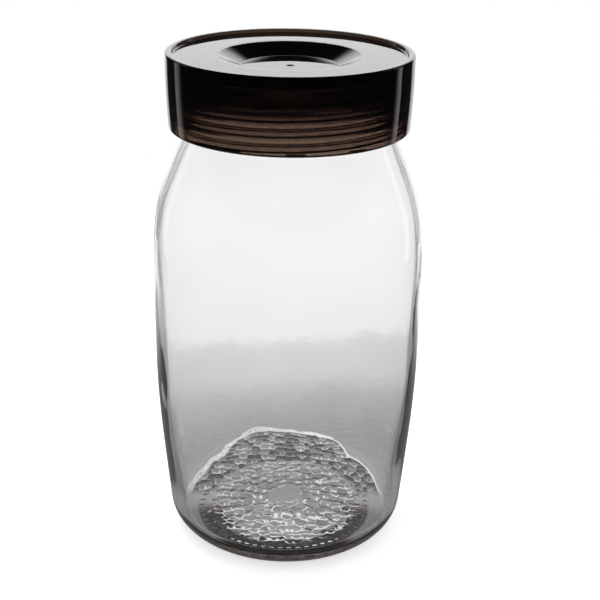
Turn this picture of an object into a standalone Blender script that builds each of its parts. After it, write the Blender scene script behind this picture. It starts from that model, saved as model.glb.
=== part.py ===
"""Glass cookie jar: a blown glass body with a domed base, a smoked screw lid and its sealing ring.

Metres, +Z up. The origin is on the jar's axis, in the plane that the jar stands on.
Each outline is a list of (radius, height) points, turned about the axis.
"""

import math

import bmesh
import bpy
from mathutils import Matrix, Vector

MM = 0.001

# Steps of the turned surfaces
ROUND_STEPS = 60
BODY_STEPS = 9
ARC_STEPS = 4
DOME_STEPS = 6
WELD = 0.01 * MM
CUT_OVERRUN = 2.0 * MM
SMOOTH_ANGLE = math.radians(35)

# Glass body, outside
BEARING_RADIUS = 47.0 * MM
BEARING_WIDTH = 2.8 * MM
HEEL_RADIUS = 16.0 * MM
WALL_LEAN = math.radians(5.7)
BODY_RADIUS = 69.0 * MM
WIDEST_SHARE = 0.572
SHOULDER_LEAN = math.radians(22.5)
NECK_RADIUS = 52.0 * MM
NECK_FILLET = 6.0 * MM
NECK_RISE = 33.9 * MM
JAR_HEIGHT = 250.6 * MM
LIP_ROUNDING = 1.4 * MM
LOWER_PULL_SHARES = (0.55, 0.37)
UPPER_PULL_SHARES = (0.63, 0.46)

# Glass body, inside
HEEL_WALL = 4.4 * MM
BODY_WALL = 2.6 * MM
NECK_WALL = 3.2 * MM
FLOOR_CORNER = 8.0 * MM
BASE_THICKNESS = 7.0 * MM
PUSH_UP = 5.0 * MM
PANEL_STEP = 0.5 * MM
PANEL_SLOPE = 2.4 * MM

# Sealing ring, pressed between the jar's lip and the lid's ceiling
SEAT_GAP = 0.3 * MM
RING_THICKNESS = 1.4 * MM
RING_OVERLAP = 6.0 * MM
RING_CLEARANCE = 0.8 * MM
RING_EDGE = 0.35 * MM

# Screw lid
SKIRT_CLEARANCE = 3.75 * MM
THREAD_SPACE = 3.6 * MM
SKIRT_WALL = 3.9 * MM
SIDE_FLARE = 1.0 * MM
SIDE_BULGE = 0.4 * MM
LID_FOOT_ROUNDING = 0.8 * MM
BORE_CHAMFER = 0.6 * MM
TOP_WALL = 2.6 * MM
RIM_WIDTH = 3.3 * MM
RIM_RISE = 2.05 * MM
RIM_OUTER_ROUNDING = 1.2 * MM
RIM_INNER_ROUNDING = 0.7 * MM
RIM_ROOT_FILLET = 0.8 * MM
RECESS_RADIUS = 34.8 * MM
RECESS_FLOOR_RADIUS = 24.0 * MM
RECESS_DEPTH = 4.5 * MM
GATE_RADIUS = 1.9 * MM
GATE_DEPTH = 0.9 * MM

# Notches under the lid's skirt, open to its bore
NOTCH_COUNT = 12
NOTCH_START = math.radians(3)
NOTCH_WIDTH = 9.0 * MM
NOTCH_DEPTH = 1.8 * MM
NOTCH_HEIGHT = 1.2 * MM

# Heights and radii that follow
SHOULDER_HEIGHT = JAR_HEIGHT - NECK_RISE
WIDEST_HEIGHT = WIDEST_SHARE * SHOULDER_HEIGHT
RING_HEIGHT = JAR_HEIGHT + SEAT_GAP
CEILING_HEIGHT = RING_HEIGHT + RING_THICKNESS + SEAT_GAP
LID_BASE_HEIGHT = SHOULDER_HEIGHT + SKIRT_CLEARANCE
LID_HEIGHT = CEILING_HEIGHT + TOP_WALL + RIM_RISE - LID_BASE_HEIGHT
BORE_RADIUS = NECK_RADIUS + THREAD_SPACE
LID_FOOT_RADIUS = BORE_RADIUS + SKIRT_WALL
LID_TOP_RADIUS = LID_FOOT_RADIUS + SIDE_FLARE
RING_OUTER_RADIUS = BORE_RADIUS - RING_CLEARANCE
RING_INNER_RADIUS = NECK_RADIUS - RING_OVERLAP


def arc(centre, radius, start, end, steps=ARC_STEPS):
    """Points on a circle from one angle to another, both ends included."""
    angles = [start + (end - start) * step / steps for step in range(steps + 1)]
    return [
        (centre[0] + radius * math.cos(angle), centre[1] + radius * math.sin(angle))
        for angle in angles
    ]


def bezier(start, start_handle, end_handle, end, steps):
    """Points on a cubic curve, both ends included."""
    points = []
    for step in range(steps + 1):
        t = step / steps
        weights = ((1 - t) ** 3, 3 * (1 - t) ** 2 * t, 3 * (1 - t) * t**2, t**3)
        controls = (start, start_handle, end_handle, end)
        points.append(
            tuple(sum(w * c[axis] for w, c in zip(weights, controls)) for axis in (0, 1))
        )
    return points


def joined(*runs):
    """One outline from several, without the points that two runs share."""
    outline = []
    for run in runs:
        for point in run:
            if not outline or math.dist(outline[-1], point) > WELD:
                outline.append(point)
    return outline


def smooth_step(share):
    share = min(max(share, 0), 1)
    return share * share * (3 - 2 * share)


def heel_end():
    """Where the rounded heel meets the leaning wall."""
    return (
        BEARING_RADIUS + HEEL_RADIUS * math.cos(WALL_LEAN),
        HEEL_RADIUS * (1 - math.sin(WALL_LEAN)),
    )


def wall_outside():
    """The outer wall from the heel's end, over the widest ring and the shoulder, to the neck."""
    foot = heel_end()
    widest = (BODY_RADIUS, WIDEST_HEIGHT)
    lower_rise = WIDEST_HEIGHT - foot[1]
    foot_pull = lower_rise * LOWER_PULL_SHARES[0]
    lower = bezier(
        foot,
        (foot[0] + foot_pull * math.sin(WALL_LEAN), foot[1] + foot_pull * math.cos(WALL_LEAN)),
        (BODY_RADIUS, WIDEST_HEIGHT - lower_rise * LOWER_PULL_SHARES[1]),
        widest,
        BODY_STEPS,
    )
    shoulder = (NECK_RADIUS + NECK_FILLET * (1 - math.cos(SHOULDER_LEAN)), SHOULDER_HEIGHT)
    upper_rise = SHOULDER_HEIGHT - WIDEST_HEIGHT
    shoulder_pull = upper_rise * UPPER_PULL_SHARES[1]
    upper = bezier(
        widest,
        (BODY_RADIUS, WIDEST_HEIGHT + upper_rise * UPPER_PULL_SHARES[0]),
        (
            shoulder[0] + shoulder_pull * math.sin(SHOULDER_LEAN),
            shoulder[1] - shoulder_pull * math.cos(SHOULDER_LEAN),
        ),
        shoulder,
        BODY_STEPS,
    )
    fillet_centre = (
        NECK_RADIUS + NECK_FILLET,
        SHOULDER_HEIGHT + NECK_FILLET * math.sin(SHOULDER_LEAN),
    )
    fillet = arc(fillet_centre, NECK_FILLET, math.pi + SHOULDER_LEAN, math.pi, ARC_STEPS // 2)
    return joined(lower, upper, fillet)


def wall_thickness(height):
    """Thick at the heel, thin at the widest ring, thick again at the neck."""
    foot = heel_end()[1]
    if height < WIDEST_HEIGHT:
        share = smooth_step((height - foot) / (WIDEST_HEIGHT - foot))
        return HEEL_WALL + (BODY_WALL - HEEL_WALL) * share
    share = smooth_step((height - WIDEST_HEIGHT) / (SHOULDER_HEIGHT - WIDEST_HEIGHT))
    return BODY_WALL + (NECK_WALL - BODY_WALL) * share


def wall_inside(outside):
    """The outer wall's points moved in by the glass's thickness, square to the wall."""
    inside = []
    last = len(outside) - 1
    for index, point in enumerate(outside):
        before = outside[max(index - 1, 0)]
        after = outside[min(index + 1, last)]
        if index == 0:
            run = Vector((math.sin(WALL_LEAN), math.cos(WALL_LEAN)))
        elif index == last:
            run = Vector((0, 1))
        else:
            run = (Vector(after) - Vector(before)).normalized()
        thickness = wall_thickness(point[1])
        inside.append((point[0] - thickness * run.y, point[1] + thickness * run.x))
    return inside


def dome(edge_radius, edge_height, centre_height, steps):
    """A shallow dome from its level edge to its centre."""
    points = []
    for step in range(steps + 1):
        share = 1 - step / steps
        rise = (centre_height - edge_height) * (1 + math.cos(math.pi * share)) / 2
        points.append((edge_radius * share, edge_height + rise))
    return points


def jar_outline():
    """From the underside's centre out and up the wall, over the lip and down inside to the floor."""
    panel_radius = BEARING_RADIUS - BEARING_WIDTH - PANEL_SLOPE
    underside = dome(panel_radius, PANEL_STEP, PUSH_UP, DOME_STEPS)[::-1]
    bearing = [(BEARING_RADIUS - BEARING_WIDTH, 0)]
    heel = arc(
        (BEARING_RADIUS, HEEL_RADIUS), HEEL_RADIUS, -math.pi / 2, -WALL_LEAN, ARC_STEPS + 2
    )
    outside = wall_outside()
    lip_height = JAR_HEIGHT - LIP_ROUNDING
    mouth_radius = NECK_RADIUS - NECK_WALL
    lip = joined(
        arc((NECK_RADIUS - LIP_ROUNDING, lip_height), LIP_ROUNDING, 0, math.pi / 2, ARC_STEPS),
        arc((mouth_radius + LIP_ROUNDING, lip_height), LIP_ROUNDING, math.pi / 2, math.pi, ARC_STEPS),
    )
    inside = wall_inside(outside)[::-1]
    foot = inside[-1]
    corner_centre = (
        foot[0] - FLOOR_CORNER * math.cos(WALL_LEAN),
        foot[1] + FLOOR_CORNER * math.sin(WALL_LEAN),
    )
    corner = arc(corner_centre, FLOOR_CORNER, -WALL_LEAN, -math.pi / 2, ARC_STEPS)
    floor_edge = corner[-1]
    floor = dome(floor_edge[0], floor_edge[1], PUSH_UP + BASE_THICKNESS, DOME_STEPS)
    return joined(underside, bearing, heel, outside, lip, inside, corner, floor)


def lid_side():
    """The skirt's outer side, from the rim down, drawn in towards the foot with a slight swell."""
    top_height = LID_HEIGHT - RIM_OUTER_ROUNDING
    points = []
    for step in range(ARC_STEPS + 3):
        share = 1 - step / (ARC_STEPS + 2)
        radius = LID_FOOT_RADIUS + (LID_TOP_RADIUS - LID_FOOT_RADIUS) * share
        swell = SIDE_BULGE * 4 * share * (1 - share)
        height = LID_FOOT_ROUNDING + (top_height - LID_FOOT_ROUNDING) * share
        points.append((radius + swell, height))
    return points


def lid_outline():
    """From the gate pit over the recess, disc and rim, down the skirt and back under the top."""
    disc_height = LID_HEIGHT - RIM_RISE
    floor_height = disc_height - RECESS_DEPTH
    ceiling_height = disc_height - TOP_WALL
    slope = math.atan2(RECESS_DEPTH, RECESS_RADIUS - RECESS_FLOOR_RADIUS)
    under_shift = TOP_WALL * math.tan(slope / 2)
    rim_radius = LID_TOP_RADIUS - RIM_WIDTH
    rim_top = LID_HEIGHT

    gate = [
        (0, floor_height - GATE_DEPTH),
        (GATE_RADIUS / 2, floor_height - GATE_DEPTH),
        (GATE_RADIUS, floor_height),
    ]
    recess = [(RECESS_FLOOR_RADIUS, floor_height), (RECESS_RADIUS, disc_height)]
    root = arc(
        (rim_radius - RIM_ROOT_FILLET, disc_height + RIM_ROOT_FILLET),
        RIM_ROOT_FILLET,
        -math.pi / 2,
        0,
        ARC_STEPS // 2,
    )
    rim = joined(
        arc(
            (rim_radius + RIM_INNER_ROUNDING, rim_top - RIM_INNER_ROUNDING),
            RIM_INNER_ROUNDING,
            math.pi,
            math.pi / 2,
            ARC_STEPS // 2,
        ),
        arc(
            (LID_TOP_RADIUS - RIM_OUTER_ROUNDING, rim_top - RIM_OUTER_ROUNDING),
            RIM_OUTER_ROUNDING,
            math.pi / 2,
            0,
            ARC_STEPS,
        ),
    )
    foot = arc(
        (LID_FOOT_RADIUS - LID_FOOT_ROUNDING, LID_FOOT_ROUNDING),
        LID_FOOT_ROUNDING,
        0,
        -math.pi / 2,
        ARC_STEPS // 2,
    )
    bore = [
        (BORE_RADIUS + BORE_CHAMFER, 0),
        (BORE_RADIUS, BORE_CHAMFER),
        (BORE_RADIUS, ceiling_height),
    ]
    underside = [
        (RECESS_RADIUS + under_shift, ceiling_height),
        (RECESS_FLOOR_RADIUS + under_shift, floor_height - TOP_WALL),
        (0, floor_height - TOP_WALL),
    ]
    return joined(gate, recess, root, rim, lid_side(), foot, bore, underside)


def ring_outline():
    """A flat ring with its corners taken off, closed on itself."""
    low, high = 0, RING_THICKNESS
    inner, outer = RING_INNER_RADIUS, RING_OUTER_RADIUS
    return [
        (inner, low + RING_EDGE),
        (inner + RING_EDGE, low),
        (outer - RING_EDGE, low),
        (outer, low + RING_EDGE),
        (outer, high - RING_EDGE),
        (outer - RING_EDGE, high),
        (inner + RING_EDGE, high),
        (inner, high - RING_EDGE),
    ]


def finished(name, shape, height=0):
    """An object from a bmesh, smooth over its curves, placed on the axis at a height."""
    bmesh.ops.recalc_face_normals(shape, faces=shape.faces)
    mesh = bpy.data.meshes.new(name)
    shape.to_mesh(mesh)
    shape.free()
    mesh.shade_smooth()
    mesh.set_sharp_from_angle(angle=SMOOTH_ANGLE)
    piece = bpy.data.objects.new(name, mesh)
    piece.location = (0, 0, height)
    bpy.context.scene.collection.objects.link(piece)
    return piece


def turned(name, outline, height=0, closed=False):
    """Turns an outline about the axis into one object."""
    shape = bmesh.new()
    points = [shape.verts.new((radius, 0, rise)) for radius, rise in outline]
    edges = [shape.edges.new(pair) for pair in zip(points, points[1:])]
    if closed:
        edges.append(shape.edges.new((points[-1], points[0])))
    bmesh.ops.spin(
        shape,
        geom=points + edges,
        cent=(0, 0, 0),
        axis=(0, 0, 1),
        angle=2 * math.pi,
        steps=ROUND_STEPS,
        use_merge=True,
    )
    bmesh.ops.remove_doubles(shape, verts=shape.verts, dist=WELD)
    return finished(name, shape, height)


def notch_cutter():
    """Blocks in a ring, one for each notch under the skirt."""
    shape = bmesh.new()
    inner = BORE_RADIUS - CUT_OVERRUN
    outer = BORE_RADIUS + NOTCH_DEPTH
    size = Vector((outer - inner, NOTCH_WIDTH, NOTCH_HEIGHT + CUT_OVERRUN))
    centre = Vector(((inner + outer) / 2, 0, (NOTCH_HEIGHT - CUT_OVERRUN) / 2))
    for index in range(NOTCH_COUNT):
        turn = Matrix.Rotation(NOTCH_START + 2 * math.pi * index / NOTCH_COUNT, 4, "Z")
        place = turn @ Matrix.Translation(centre) @ Matrix.Diagonal(size.to_4d())
        bmesh.ops.create_cube(shape, size=1, matrix=place)
    cutter = finished("notch_cutter", shape, LID_BASE_HEIGHT)
    cutter.hide_render = True
    cutter.display_type = "WIRE"
    return cutter


def coloured(piece, colour, roughness, transmission=0):
    """Gives a piece its own material."""
    material = bpy.data.materials.new(piece.name)
    material.use_nodes = True
    surface = material.node_tree.nodes["Principled BSDF"]
    surface.inputs["Base Color"].default_value = (*colour, 1)
    surface.inputs["Metallic"].default_value = 0
    surface.inputs["Roughness"].default_value = roughness
    surface.inputs["Transmission Weight"].default_value = transmission
    piece.data.materials.append(material)


def main():
    for old in list(bpy.data.objects):
        bpy.data.objects.remove(old)

    jar = turned("glass_jar", jar_outline())
    coloured(jar, (0.93, 0.96, 0.95), 0.02, transmission=1)

    ring = turned("sealing_ring", ring_outline(), RING_HEIGHT, closed=True)
    coloured(ring, (0.05, 0.05, 0.05), 0.6)

    lid = turned("screw_lid", lid_outline(), LID_BASE_HEIGHT)
    notches = lid.modifiers.new("notches", "BOOLEAN")
    notches.operation = "DIFFERENCE"
    notches.object = notch_cutter()
    coloured(lid, (0.045, 0.028, 0.022), 0.08, transmission=0.8)


main()
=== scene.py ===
"""Looks of the glass cookie jar: blown glass body, smoked screw lid, sealing ring and studio."""

import math
from functools import partialmethod
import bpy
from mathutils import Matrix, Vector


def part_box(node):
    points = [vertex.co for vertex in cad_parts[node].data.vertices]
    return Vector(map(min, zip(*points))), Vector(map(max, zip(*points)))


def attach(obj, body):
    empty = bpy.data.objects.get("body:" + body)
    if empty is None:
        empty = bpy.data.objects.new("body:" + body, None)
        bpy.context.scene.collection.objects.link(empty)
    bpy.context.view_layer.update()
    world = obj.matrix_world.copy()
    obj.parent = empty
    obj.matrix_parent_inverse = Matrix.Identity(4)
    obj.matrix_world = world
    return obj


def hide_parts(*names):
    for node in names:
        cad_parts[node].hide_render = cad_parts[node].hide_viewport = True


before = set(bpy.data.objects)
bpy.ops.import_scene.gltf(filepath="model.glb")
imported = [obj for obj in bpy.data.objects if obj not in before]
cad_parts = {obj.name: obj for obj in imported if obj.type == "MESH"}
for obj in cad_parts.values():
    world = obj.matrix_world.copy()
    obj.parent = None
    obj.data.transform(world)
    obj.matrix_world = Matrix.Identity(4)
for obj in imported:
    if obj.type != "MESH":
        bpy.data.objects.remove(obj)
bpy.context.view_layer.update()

from types import SimpleNamespace

import bpy
import numpy as np
from bpy.props import FloatProperty, FloatVectorProperty, IntProperty, PointerProperty
from mathutils import Matrix, Vector

bl_info = {
    "name": "Glass Cookie Jar",
    "version": (1, 0, 0),
    "blender": (4, 5, 0),
    "location": "3D View > Sidebar > Cookie Jar",
    "description": "Builds a blown glass jar with a hammered base, its screw lid and a studio",
    "category": "Object",
}

MM = 0.001
WELD = 0.002 * MM
WHITE = (1, 1, 1, 1)

# Steps round the axis
GLASS_STEPS = 300
LID_STEPS = 360
FLOOR_STEPS = 96

# The jar's outline, as in the solids
BEARING_RADIUS = 47.0 * MM
BEARING_WIDTH = 2.8 * MM
HEEL_RADIUS = 16.0 * MM
WALL_LEAN = math.radians(5.7)
BODY_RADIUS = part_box("glass_jar")[1].x
WIDEST_SHARE = 0.572
SHOULDER_LEAN = math.radians(22.5)
NECK_RADIUS = 52.0 * MM
NECK_FILLET = 6.0 * MM
NECK_RISE = 33.9 * MM
JAR_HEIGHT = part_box("glass_jar")[1].z
LIP_ROUNDING = 1.4 * MM
LOWER_PULL_SHARES = (0.55, 0.37)
UPPER_PULL_SHARES = (0.63, 0.46)
HEEL_WALL = 4.4 * MM
BODY_WALL = 2.6 * MM
NECK_WALL = 3.2 * MM
FLOOR_CORNER = 8.0 * MM
BASE_THICKNESS = 7.0 * MM
PUSH_UP = 5.0 * MM
PANEL_STEP = 0.5 * MM
PANEL_SLOPE = 2.4 * MM
SHOULDER_HEIGHT = JAR_HEIGHT - NECK_RISE
WIDEST_HEIGHT = WIDEST_SHARE * SHOULDER_HEIGHT

# The lid's outline, as in the solid but for a deeper recess with smaller fillets
LID_BASE_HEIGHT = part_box("screw_lid")[0].z
LID_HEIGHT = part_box("screw_lid")[1].z - LID_BASE_HEIGHT
BORE_RADIUS = 55.6 * MM
LID_FOOT_RADIUS = 59.5 * MM
LID_TOP_RADIUS = 60.5 * MM
SIDE_BULGE = 0.4 * MM
LID_FOOT_ROUNDING = 0.8 * MM
BORE_CHAMFER = 0.6 * MM
TOP_WALL = 2.6 * MM
RIM_WIDTH = 3.3 * MM
RIM_RISE = 2.05 * MM
RIM_OUTER_ROUNDING = 1.2 * MM
RIM_INNER_ROUNDING = 0.7 * MM
RIM_ROOT_FILLET = 0.8 * MM
RECESS_RADIUS = 34.8 * MM
RECESS_FLOOR_RADIUS = 24.0 * MM
RECESS_DEPTH = 5.2 * MM
RECESS_EDGE_FILLET = 0.5 * MM
RECESS_FOOT_FILLET = 1.6 * MM
GATE_RADIUS = 1.9 * MM
GATE_DEPTH = 0.9 * MM
# The gate pit's runs: start and end in shares of its radius and depth, and rows
GATE_RUNS = (((0, 1), (0.3, 1), 2), ((0.35, 0.97), (1, 0.05), 4), ((1.02, 0), (1.15, 0), 2))
NOTCHES = {
    "Count": 12, "Start": math.radians(3), "Radius": BORE_RADIUS, "Level": LID_BASE_HEIGHT,
    "Width": 9.0 * MM, "Depth": 1.8 * MM, "Height": 1.2 * MM,
}

# The sealing ring
RING_LOW, RING_HIGH = (corner.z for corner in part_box("sealing_ring"))
RING_INNER_RADIUS = 46.0 * MM
RING_OUTER_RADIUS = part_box("sealing_ring")[1].x
RING_EDGE = 0.35 * MM

# Both threads share a pitch, so the lid's ridge stays under the jar's ridge as it turns
PITCH = 7.0 * MM
LID_THREAD_DROP = 3.0 * MM
LID_THREAD_LEAD = 1.25
NECK_THREAD = {
    "Pitch": PITCH, "End_angle": math.radians(-76), "Top": 241.0 * MM, "Turns": 2.3,
    "Flat": 0.5 * MM, "Flank": 2.4 * MM, "Fade": 0.35 * MM,
}
LID_THREAD = {
    **NECK_THREAD,
    "End_angle": NECK_THREAD["End_angle"] + math.pi / 2,
    "Top": NECK_THREAD["Top"] - LID_THREAD_DROP + PITCH * LID_THREAD_LEAD,
    "Turns": 3.45, "Flat": 1.0 * MM, "Flank": 1.6 * MM,
}

# Rings of hammered cells round a plain disc, and the bearing ring's marks and pleats
HAMMERED_BASE = {
    "First_count": 17, "Added_count": 2, "First_radius": 12.4 * MM, "Row_spacing": 4.4 * MM,
    "Jitter": 0.9 * MM, "Seed": 7, "Disc_radius": 10.4 * MM, "Mark_depth": 0.35 * MM,
}
CELL_SPREAD = 0.045
CELL_REACH = 0.45
CELL_GROWTH = 0.055
DISC_FADE = 0.94
MARK_COUNT = 62
MARK_EDGE = (-0.3, 0.3)
PLEAT_SCALE = 18

# The blown wall's swells: how many in a metre across and up
WAVE_ACROSS = 9
WAVE_UP = 6
WAVE_DETAIL = 0.6
INNER_WAVE_SHIFT = 5

# Below, two values are where a step starts and ends, and four where a band starts, is full,
# falls and ends. Where two brightnesses stand, a step leads from one to the other

# Painted shade in the glass's tint, in place of the dark lines that refraction and total
# reflection give near the walls' edges: how far a wall turns from the eye, from 0 to 1
INNER_LINE = (0.76, 0.87)
LOW_LINE, LOW_LINE_SHARE = (0.53, 0.64), 0.5
HEEL_LINE, HEEL_LINE_SHARE = (0.54, 0.62, 0.74, 0.84), 0.7
HIGH_LINE, HIGH_LINE_SHARE = (0.65, 0.71, 0.80, 0.86), 0.32
LOW_HEIGHTS, HEEL_HEIGHTS = (0.070, 0.096), (0.008, 0.018)
GLASS_PAINTED_SHADE = (0.10, 0.11, 0.11, 1)

# Painted shade in the plastic's tint, darker towards the top, a little less on the rim, and in
# lines at the thread's flanks: heights, the bore's skin, and distances off the thread's middle
TOP_HEIGHTS = (0.2315, 0.2440)
RIM_HEIGHTS, RIM_PALER = (0.2543, 0.2553), 0.17
BORE_SKIN = (0.0565, 0.0570)
THREAD_LINE = (0.85 * MM, 1.10 * MM, 1.70 * MM, 1.95 * MM)
THREAD_LINE_SHARE = 0.93
PLASTIC_CLEAR = (1, 0.97, 0.94, 1)
PLASTIC_PAINTED_SHADE = (0.05, 0.035, 0.03, 1)

# Painted reflection: how bright the floor glows in mirrored light, with painted shade near the
# jar, where the jar's sides have their own share. Distances on the floor are from the jar's axis,
# in metres
MIRROR_RISE, MIRROR_LIGHTS = (0.15, 0.38), (0.22, 0.97)
MIRROR_DIM = 0.02
SIDE_SLANT = 0.75
SIDE_EDGE = (0.062, 0.090)
SIDE_FALL, SIDE_LIGHT = (0.30, 0.50), 0.24

# Painted shade on the floor as seen through the glass, darkest in a pool round the jar: distance
# and brightness. On the right the shade lies farther out
FLOOR_PAINTED_SHADE = (
    (0.000, 0.40), (0.038, 0.40), (0.070, 0.35), (0.085, 0.355), (0.107, 0.405),
    (0.129, 0.47), (0.145, 0.56), (0.160, 0.64), (0.201, 0.69), (0.215, 0.72),
    (0.236, 0.905), (0.305, 0.945), (0.540, 0.985),
)
PAINTED_SHADE_SHIFT = 0.3
UNEVEN_SCALE = 22
PAINTED_SHADE_WAVE = 0.02

# The painted caustic rim behind the base, and the painted facets and glints inside it. Bulges
# and fronts go by the sine of the angle round the jar, 1 straight behind it and -1 in front
BEHIND, LEFTWARDS = (0.05, 0.30), (-0.015, 0.020)
BORDER_REACH = 0.062
BORDER_BULGES = (((0.76, 1.00), 0.0235), ((0.3, 0.8), 0.004))
BORDER_WAVE = 0.002
BORDER_WIDTHS = (0.0019, 0.0069)
BORDER_FULL = 0.6
BORDER_FALL = 0.0008
BORDER_GAPS = (0.25, 0.75)
CAUSTIC_RIM_LIGHT = 0.95
BREAK_SCALES, BREAK_STEP = (320, 200), (0.42, 0.58)
FACET_SCALES = (255, 185)
FACET_START, FACET_FALL = (0.039, 0.044), 0.002
FACET_EDGE = (0.04, 0.20)
FACET_NEAR = (0.05, 0.25)
FACET_STEP, FACET_TONES = (0.38, 0.62), (0.09, 0.24)
FACET_SLOPE = 0.08
GLINT_STEP, GLINT_LIGHTS = (0.5, 0.7), (0.25, 0.65)

# Painted light and shade for the hammered base through the glass: bright crescents on the cells, a
# darker plain disc, a dark ring of shade in front and light through the bearing marks
AHEAD, FRONT = (-0.005, 0.042), (-0.30, 0.10)
BASE_SCALE = 230
BASE_NEAR = (0.03, 0.25)
BASE_EDGE_STARTS, BASE_EDGE_ENDS = (0.05, 0.09), (0.21, 0.33)
BASE_END = (0.0385, 0.0415)
BASE_SLOPE, BASE_TONE, BASE_DARKER = 0.10, 0.12, 0.10
BASE_LIGHT = 0.92
DISC_SET_BACK, DISC_EDGE = 0.009, (0.0075, 0.0105)
DISC_UNEVEN, DISC_DARKER = 0.006, 0.05
DARK_UNEVEN = 0.012
DARK_START, DARK_END = (0.0345, 0.0370), (0.047, 0.050)
DARK_LIGHT = 0.012
PAINTED_SHADE_TINT = (1, 0.75, 0.65, 1)
UNDER_BAND, UNDER_FRONT = (0.044, 0.047, 0.066, 0.070), (-0.85, -0.62)
BESIDE_LIGHT = 0.17
DASH_BAND, DASH_FRONT = (0.0443, 0.0447, 0.0456, 0.0460), (-0.90, -0.70)
DASH_EDGE = (-0.3, 0.2)
DASH_LIGHT = 0.9

# The room in mirrored light, in degrees aside of straight behind and in degrees up: a lit
# wall and a strip on either side. In sent light it is white with a dark belt
WALL_SPAN = (-30, -24, 28, 34)
WALL_TOP = (20, 36)
WALL_FOOT, WALL_FOOT_LIGHT = (-2, 8), 0.95
STRIPS = (((-66, -53, -52, -50), 0.65), ((57, 59, 60, 70), 0.85))
STRIP_HEIGHTS = (-60, -40, 30, 50)
ROOM_DIM = 0.02
SENT_LIGHT = 0.99
BELT_HEIGHTS, BELT_SHARE = (8, 24, 42, 50), 0.92

LAMP_PLACE = (-0.25, 0.35, 1.1)
LAMP_AIM = (0, 0, 0.1)
CAMERA_PLACE = (0, -0.600, 0.3758)
# In degrees, from looking straight down: to the right, up, and about the line of sight
CAMERA_TURNS = ((-0.626, "Z"), (67.467, "X"), (0.90, "Z"))


def length_setting(name, description, default, **limits):
    """A length, which the panel shows with its unit."""
    return FloatProperty(
        name=name, description=description, default=default,
        unit="LENGTH", subtype="DISTANCE", **limits,
    )


def colour_setting(name, description, default):
    """A colour without transparency."""
    return FloatVectorProperty(
        name=name, description=description, default=default,
        subtype="COLOR", size=3, min=0, max=1,
    )


class JarGlassSettings(bpy.types.PropertyGroup):
    tint: colour_setting("Tint", "Colour that thick glass takes", (0.68, 0.68, 0.70))
    tint_density: FloatProperty(
        name="Tint density", description="How fast the glass takes its tint, per metre",
        min=0, default=9.0,
    )
    thread_height: length_setting(
        "Thread height", "How far the thread stands out of the neck", 2.3 * MM, min=0
    )
    outer_wave: length_setting(
        "Outer waviness", "Largest swell of the outer wall", 0.10 * MM, min=0
    )
    inner_wave: length_setting(
        "Inner waviness", "Largest swell of the inner wall", 0.35 * MM, min=0
    )
    cell_rows: IntProperty(
        name="Cell rows", description="Rings of hammered cells under the base", min=1, default=7,
    )
    cell_depth: length_setting(
        "Cell depth", "Depth of a hammered cell, negative to stand out", -0.50 * MM
    )
    mark_count: IntProperty(
        name="Bearing marks", description="Short marks round the bearing ring",
        min=3, default=MARK_COUNT,
    )


class ScrewLidSettings(bpy.types.PropertyGroup):
    smoke: colour_setting(
        "Smoke colour", "Colour that light keeps inside the plastic", (0.30, 0.16, 0.06)
    )
    smoke_density: FloatProperty(
        name="Smoke density", description="How fast the plastic darkens, per metre",
        min=0, default=620.0,
    )
    thread_height: length_setting(
        "Thread height", "How far the thread stands into the bore", 0.7 * MM, min=0
    )


class SealingRingSettings(bpy.types.PropertyGroup):
    colour: colour_setting("Colour", "Colour of the rubber", (0.03, 0.03, 0.03))


class StudioSettings(bpy.types.PropertyGroup):
    wall_light: FloatProperty(
        name="Wall light", description="Brightness of the lit wall in reflections",
        min=0, default=1.7,
    )
    room_light: FloatProperty(
        name="Room light", description="Even light on the object", min=0, default=0.85,
    )
    floor_size: length_setting("Floor radius", "Radius of the round floor", 0.55, min=0.1)


class CookieJarSettings(bpy.types.PropertyGroup):
    glass: PointerProperty(type=JarGlassSettings)
    lid: PointerProperty(type=ScrewLidSettings)
    ring: PointerProperty(type=SealingRingSettings)
    studio: PointerProperty(type=StudioSettings)


# Outlines, as lists of radius and height, and the meshes turned from them


def arc(centre, radius, start, end, steps=5):
    """Points on a circle from one angle to another, both ends included."""
    angles = np.linspace(start, end, steps + 1)
    return [
        (centre[0] + radius * math.cos(angle), centre[1] + radius * math.sin(angle))
        for angle in angles
    ]


def straight(start, end, steps=5):
    """Points on a line, both ends included."""
    return [tuple(point) for point in np.linspace(start, end, steps + 1)]


def bezier(start, start_handle, end_handle, end, steps):
    """Points on a cubic curve, both ends included."""
    t = np.linspace(0, 1, steps + 1)[:, None]
    controls = np.array((start, start_handle, end_handle, end))
    weights = np.hstack(((1 - t) ** 3, 3 * (1 - t) ** 2 * t, 3 * (1 - t) * t**2, t**3))
    return [tuple(point) for point in weights @ controls]


def dome(edge_radius, edge_height, centre_height, steps):
    """A shallow dome from its level edge to its centre."""
    shares = np.linspace(1, 0, steps + 1)
    rise = (centre_height - edge_height) * (1 + np.cos(math.pi * shares)) / 2
    return list(zip(edge_radius * shares, edge_height + rise))


def fillet(before, corner, after, radius, steps=5):
    """Points that round a corner between two straight lines."""
    corner = Vector(corner)
    one = (Vector(before) - corner).normalized()
    two = (Vector(after) - corner).normalized()
    half = one.angle(two) / 2
    start = corner + one * (radius / math.tan(half))
    end = corner + two * (radius / math.tan(half))
    centre = corner + (one + two).normalized() * (radius / math.sin(half))
    first = math.atan2(start.y - centre.y, start.x - centre.x)
    last = math.atan2(end.y - centre.y, end.x - centre.x)
    turn = (last - first + math.pi) % math.tau - math.pi
    return arc(centre, radius, first, first + turn, steps)


def smooth_step(share):
    """0 up to a share of 0 and 1 from a share of 1 on, smooth between."""
    share = min(max(share, 0), 1)
    return share * share * (3 - 2 * share)


def heel_end():
    """Where the rounded heel meets the leaning wall."""
    return (
        BEARING_RADIUS + HEEL_RADIUS * math.cos(WALL_LEAN),
        HEEL_RADIUS * (1 - math.sin(WALL_LEAN)),
    )


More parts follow.
